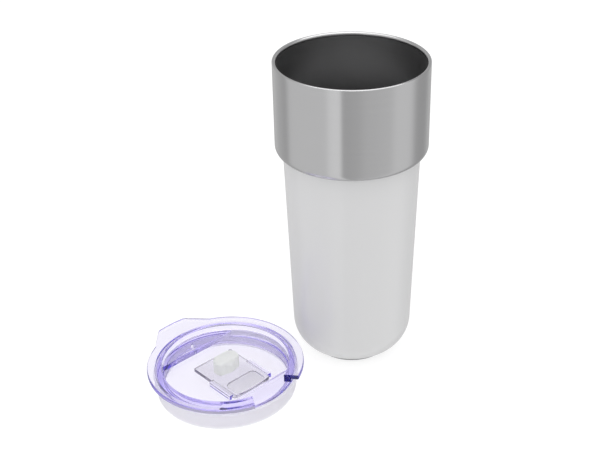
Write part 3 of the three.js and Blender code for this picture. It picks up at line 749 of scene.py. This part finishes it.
# %% Sleeve
SLEEVE_TOP = sleeve_high.z / MM
SLEEVE_WIDEST = (sleeve_high.x - sleeve_low.x) / 2 / MM
SLEEVE_TAPER = 1.4
SLEEVE_NARROW = SLEEVE_WIDEST - SLEEVE_TAPER
SLEEVE_ROUND = 0.6
SLEEVE_LEDGE = 0.9
SLEEVE_LIP_R = 37.2
SLEEVE_LIP_TOP = 1.7
sleeve_in = PLUG_RADIUS + GAP
sleeve_profile = np.vstack([
    [[SLEEVE_LIP_R, 0.0], [SLEEVE_NARROW - SLEEVE_ROUND, 0.0]],
    arc(SLEEVE_NARROW - SLEEVE_ROUND, SLEEVE_ROUND, SLEEVE_ROUND, -80, 0, 6),
    arc(SLEEVE_WIDEST - SLEEVE_ROUND, SLEEVE_TOP - SLEEVE_LEDGE, SLEEVE_ROUND, 0, 80, 6),
    [[SLEEVE_WIDEST - SLEEVE_LEDGE, SLEEVE_TOP], [sleeve_in, SLEEVE_TOP],
     [sleeve_in, SLEEVE_LIP_TOP], [SLEEVE_LIP_R, SLEEVE_LIP_TOP]],
])
sleeve = new_piece("frosted_sleeve", *revolve(sleeve_profile, 256))
join_frame(onto_lid(sleeve), "lid_sleeve", "lid", frosted_silicone)

# %% [markdown]
# ## The shutter and its grip
# The shutter is a clear plate. In front its side edges are thinned to a tongue that runs under
# the rails. The grip is a soft block whose top dips towards the front.

# %% Shutter
POCKET_LENGTH = 11.4 + 2 * GAP
POCKET_WIDTH = 20.4 + 2 * GAP
POCKET_CORNER = 3.3
POCKET_TOP = SHUTTER_LOW + 1.0
SHUTTER_REAR_EDGE = 0.6
SHUTTER_EDGE = 0.25
NOSE_CORNER = 3.6
NOSE_BOW = 1.0
plate_outline = nosed_outline(SHUTTER_REAR, SHUTTER_FRONT, SHUTTER_HALF,
                              SHUTTER_REAR_EDGE, NOSE_CORNER, NOSE_BOW)
plate = new_piece("clear_shutter_plate", *prism(plate_outline, SHUTTER_LOW, SHUTTER_TOP, SHUTTER_EDGE, 3))
strips = []
for side in (1, -1):
    near, far = side * (SHUTTER_HALF - RAIL_LIP), side * (SHUTTER_HALF + 1)
    low_y, high_y = min(near, far), max(near, far)
    strip = np.array([[RAIL_REAR - GAP, low_y], [SHUTTER_FRONT + 1, low_y],
                      [SHUTTER_FRONT + 1, high_y], [RAIL_REAR - GAP, high_y]])
    strips.append(new_piece(f"strip{side}", *prism(strip, TONGUE_TOP, SHUTTER_TOP + 1)))
seat = rounded_block(HOLE_X, POCKET_LENGTH, POCKET_WIDTH, POCKET_CORNER, 8)
strips.append(new_piece("seat", *prism(seat, SHUTTER_LOW - 1, POCKET_TOP)))
carve(plate, strips, "DIFFERENCE")
join_frame(onto_lid(plate), "shutter_plate", "shutter", clear_shutter)

# %% Thumb grip
GRIP_SETBACK = 8.2
GRIP_LENGTH = 10.0
GRIP_REAR = SHUTTER_REAR + GRIP_SETBACK
GRIP_FRONT = GRIP_REAR + GRIP_LENGTH
GRIP_HALF = 7.8
GRIP_REAR_CORNER = 3.0
GRIP_SINK = 0.25
GRIP_LOW = SHUTTER_TOP + GAP - GRIP_SINK
GRIP_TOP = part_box("thumb_grip")[1].z / MM
GRIP_DIP = 0.5
GRIP_BROW = 2.6
GRIP_EDGE = 0.8


def grip_top(x):
    """The top's height along the grip: a slow fall to the front, then a quarter-round brow."""
    fall = GRIP_DIP * (x - GRIP_REAR) / (GRIP_FRONT - GRIP_REAR)
    into_brow = np.clip((x - (GRIP_FRONT - GRIP_BROW)) / GRIP_BROW, 0, 1)
    return GRIP_TOP - fall - GRIP_BROW * (1 - np.sqrt(1 - 0.97 * into_brow ** 2))


def grip_surface():
    """Rings round the outline: up the side, round the top edge, then in to the middle line."""
    outline = nosed_outline(GRIP_REAR, GRIP_FRONT, GRIP_HALF, GRIP_REAR_CORNER, NOSE_CORNER, NOSE_BOW)
    centre = np.array([(GRIP_REAR + GRIP_FRONT) / 2, 0.0])
    rows = []
    for share in np.linspace(0, 1, 8):
        z = GRIP_LOW + (grip_top(outline[:, 0]) - GRIP_EDGE - GRIP_LOW) * share
        rows.append(np.column_stack([outline, z]))
    for angle in np.linspace(0, np.pi / 2, 7)[1:]:
        inner = offset(outline, GRIP_EDGE * (1 - np.cos(angle)))
        z = grip_top(inner[:, 0]) - GRIP_EDGE * (1 - np.sin(angle))
        rows.append(np.column_stack([inner, z]))
    edge = offset(outline, GRIP_EDGE)
    for share in np.linspace(1, 0, 9)[1:-1]:
        inner = centre + (edge - centre) * share
        rows.append(np.column_stack([inner, grip_top(inner[:, 0])]))
    return stacked(rows)


grip = new_piece("thumb_grip_block", *grip_surface())
join_frame(onto_lid(grip), "thumb_grip", "shutter", frosted_grip)

# %% [markdown]
# ## Light through clear plastic
# Clear plastic lets a lamp's light through, but a path tracer rarely finds the bent paths that
# do it, and leaves a hard dark shadow instead. So the clear and frosted pieces cast none.

# %% Clear pieces cast no shadow
for piece in (clear, sleeve, plate, grip, frame["nodes"]["shutter_seal"]):
    piece.visible_shadow = False
    print(piece.name, "casts no shadow")

# %% Light paths inside clear plastic
# Light that is caught between the faces of a moulding is reflected many times before it leaves.
scene.cycles.max_bounces = 24
scene.cycles.glossy_bounces = 16
scene.cycles.transmission_bounces = 20
print("reflections followed inside the lid:", scene.cycles.glossy_bounces)

# %% [markdown]
# ## Floor and light
# A pale floor and soft light from all round. Steel only shows what it reflects, so the surround
# isn't even: it has wide light panels and darker gaps between them, by compass direction. The
# floor is left out of reflections, so that the panels reach down the whole wall of the tumbler.

# %% Floor
FLOOR_HALF = 4.0
floor_mesh = bpy.data.meshes.new("floor")
corners = np.array([[-1, -1, 0], [1, -1, 0], [1, 1, 0], [-1, 1, 0]]) * FLOOR_HALF
floor_mesh.from_pydata(corners, [], [[0, 1, 2, 3]])
floor = bpy.data.objects.new("floor", floor_mesh)
scene.collection.objects.link(floor)
floor.visible_glossy = False
floor_mesh.materials.append(finish("floor_paint", uneven_surface, (0.25, 0.25, 0.25), 0.9, 0.0, sockets={
    "Emission Color": (1, 1, 1, 1), "Emission Strength": 0.80}))

# %% Surround: brightness by compass direction
# Each pair is a direction in degrees, from the camera's side round to the right, and brightness.
PANELS = [(-180, 0.50), (-150, 0.64), (-128, 0.58), (-112, 0.51), (-100, 0.79), (-40, 0.80),
          (-30, 0.96), (-16.5, 1.00), (-13.5, 0.54), (5, 0.59), (25, 0.68), (55, 0.72), (70, 0.84),
          (92, 0.84), (112, 0.50), (132, 0.46), (150, 0.60), (180, 0.50)]
OVERHEAD = 1.05
OVERHEAD_FROM = 0.70
OVERHEAD_FULL = 0.82


def studio_world():
    """A world whose brightness is a ramp over direction: atan2(x, -y) / 360 degrees + 1/2.

    Steeply overhead it changes over to one wide bright panel, by the direction's height z.
    """
    world = bpy.data.worlds.new("studio")
    world.use_nodes = True
    tree = world.node_tree
    tree.nodes.clear()
    place = tree.nodes.new("ShaderNodeTexCoord").outputs["Generated"]
    split = tree.nodes.new("ShaderNodeSeparateXYZ")
    tree.links.new(place, split.inputs[0])
    toward = math_node(tree, "MULTIPLY", split.outputs[1], -1.0)
    compass = math_node(tree, "ARCTAN2", split.outputs[0], toward)
    share = math_node(tree, "MULTIPLY_ADD", compass, 1 / (2 * math.pi), 0.5)
    ramp = tree.nodes.new("ShaderNodeValToRGB")
    ramp.color_ramp.interpolation = "EASE"
    while len(ramp.color_ramp.elements) < len(PANELS):
        ramp.color_ramp.elements.new(0.5)
    for element, (degrees, level) in zip(ramp.color_ramp.elements, PANELS):
        element.position = degrees / 360 + 0.5
        element.color = (level, level, level, 1)
    tree.links.new(share, ramp.inputs[0])
    above = tree.nodes.new("ShaderNodeMapRange")
    above.inputs["From Min"].default_value = OVERHEAD_FROM
    above.inputs["From Max"].default_value = OVERHEAD_FULL
    tree.links.new(split.outputs[2], above.inputs["Value"])
    rest = math_node(tree, "SUBTRACT", 1.0, above.outputs[0])
    around = math_node(tree, "MULTIPLY", ramp.outputs[0], rest)
    level = math_node(tree, "MULTIPLY_ADD", above.outputs[0], OVERHEAD, around)
    panels = tree.nodes.new("ShaderNodeBackground")
    tree.links.new(level, panels.inputs["Color"])
    plain = tree.nodes.new("ShaderNodeBackground")
    plain.inputs["Color"].default_value = (1, 1, 1, 1)
    choose = tree.nodes.new("ShaderNodeMixShader")
    tree.links.new(tree.nodes.new("ShaderNodeLightPath").outputs["Is Camera Ray"], choose.inputs[0])
    tree.links.new(panels.outputs[0], choose.inputs[1])
    tree.links.new(plain.outputs[0], choose.inputs[2])
    output = tree.nodes.new("ShaderNodeOutputWorld")
    tree.links.new(choose.outputs[0], output.inputs["Surface"])
    return world


scene.world = studio_world()


def softbox(name, place, size, power, target=(0, 0, 0.08)):
    """A square area light that looks at a target point."""
    light = bpy.data.lights.new(name, "AREA")
    light.size = size
    light.energy = power
    lamp = bpy.data.objects.new(name, light)
    lamp.location = place
    aim = np.array(target) - np.array(place)
    tilt = math.acos(-aim[2] / np.linalg.norm(aim))
    heading = math.atan2(aim[1], aim[0]) - math.pi / 2
    lamp.rotation_euler = (tilt, 0, heading)
    scene.collection.objects.link(lamp)
    return lamp


softbox("top_box", (0.1, 0.1, 1.6), 1.8, 10)

# %% [markdown]
# ## The end
# The visual model keeps the CAD model's size.

# %% The end
import json
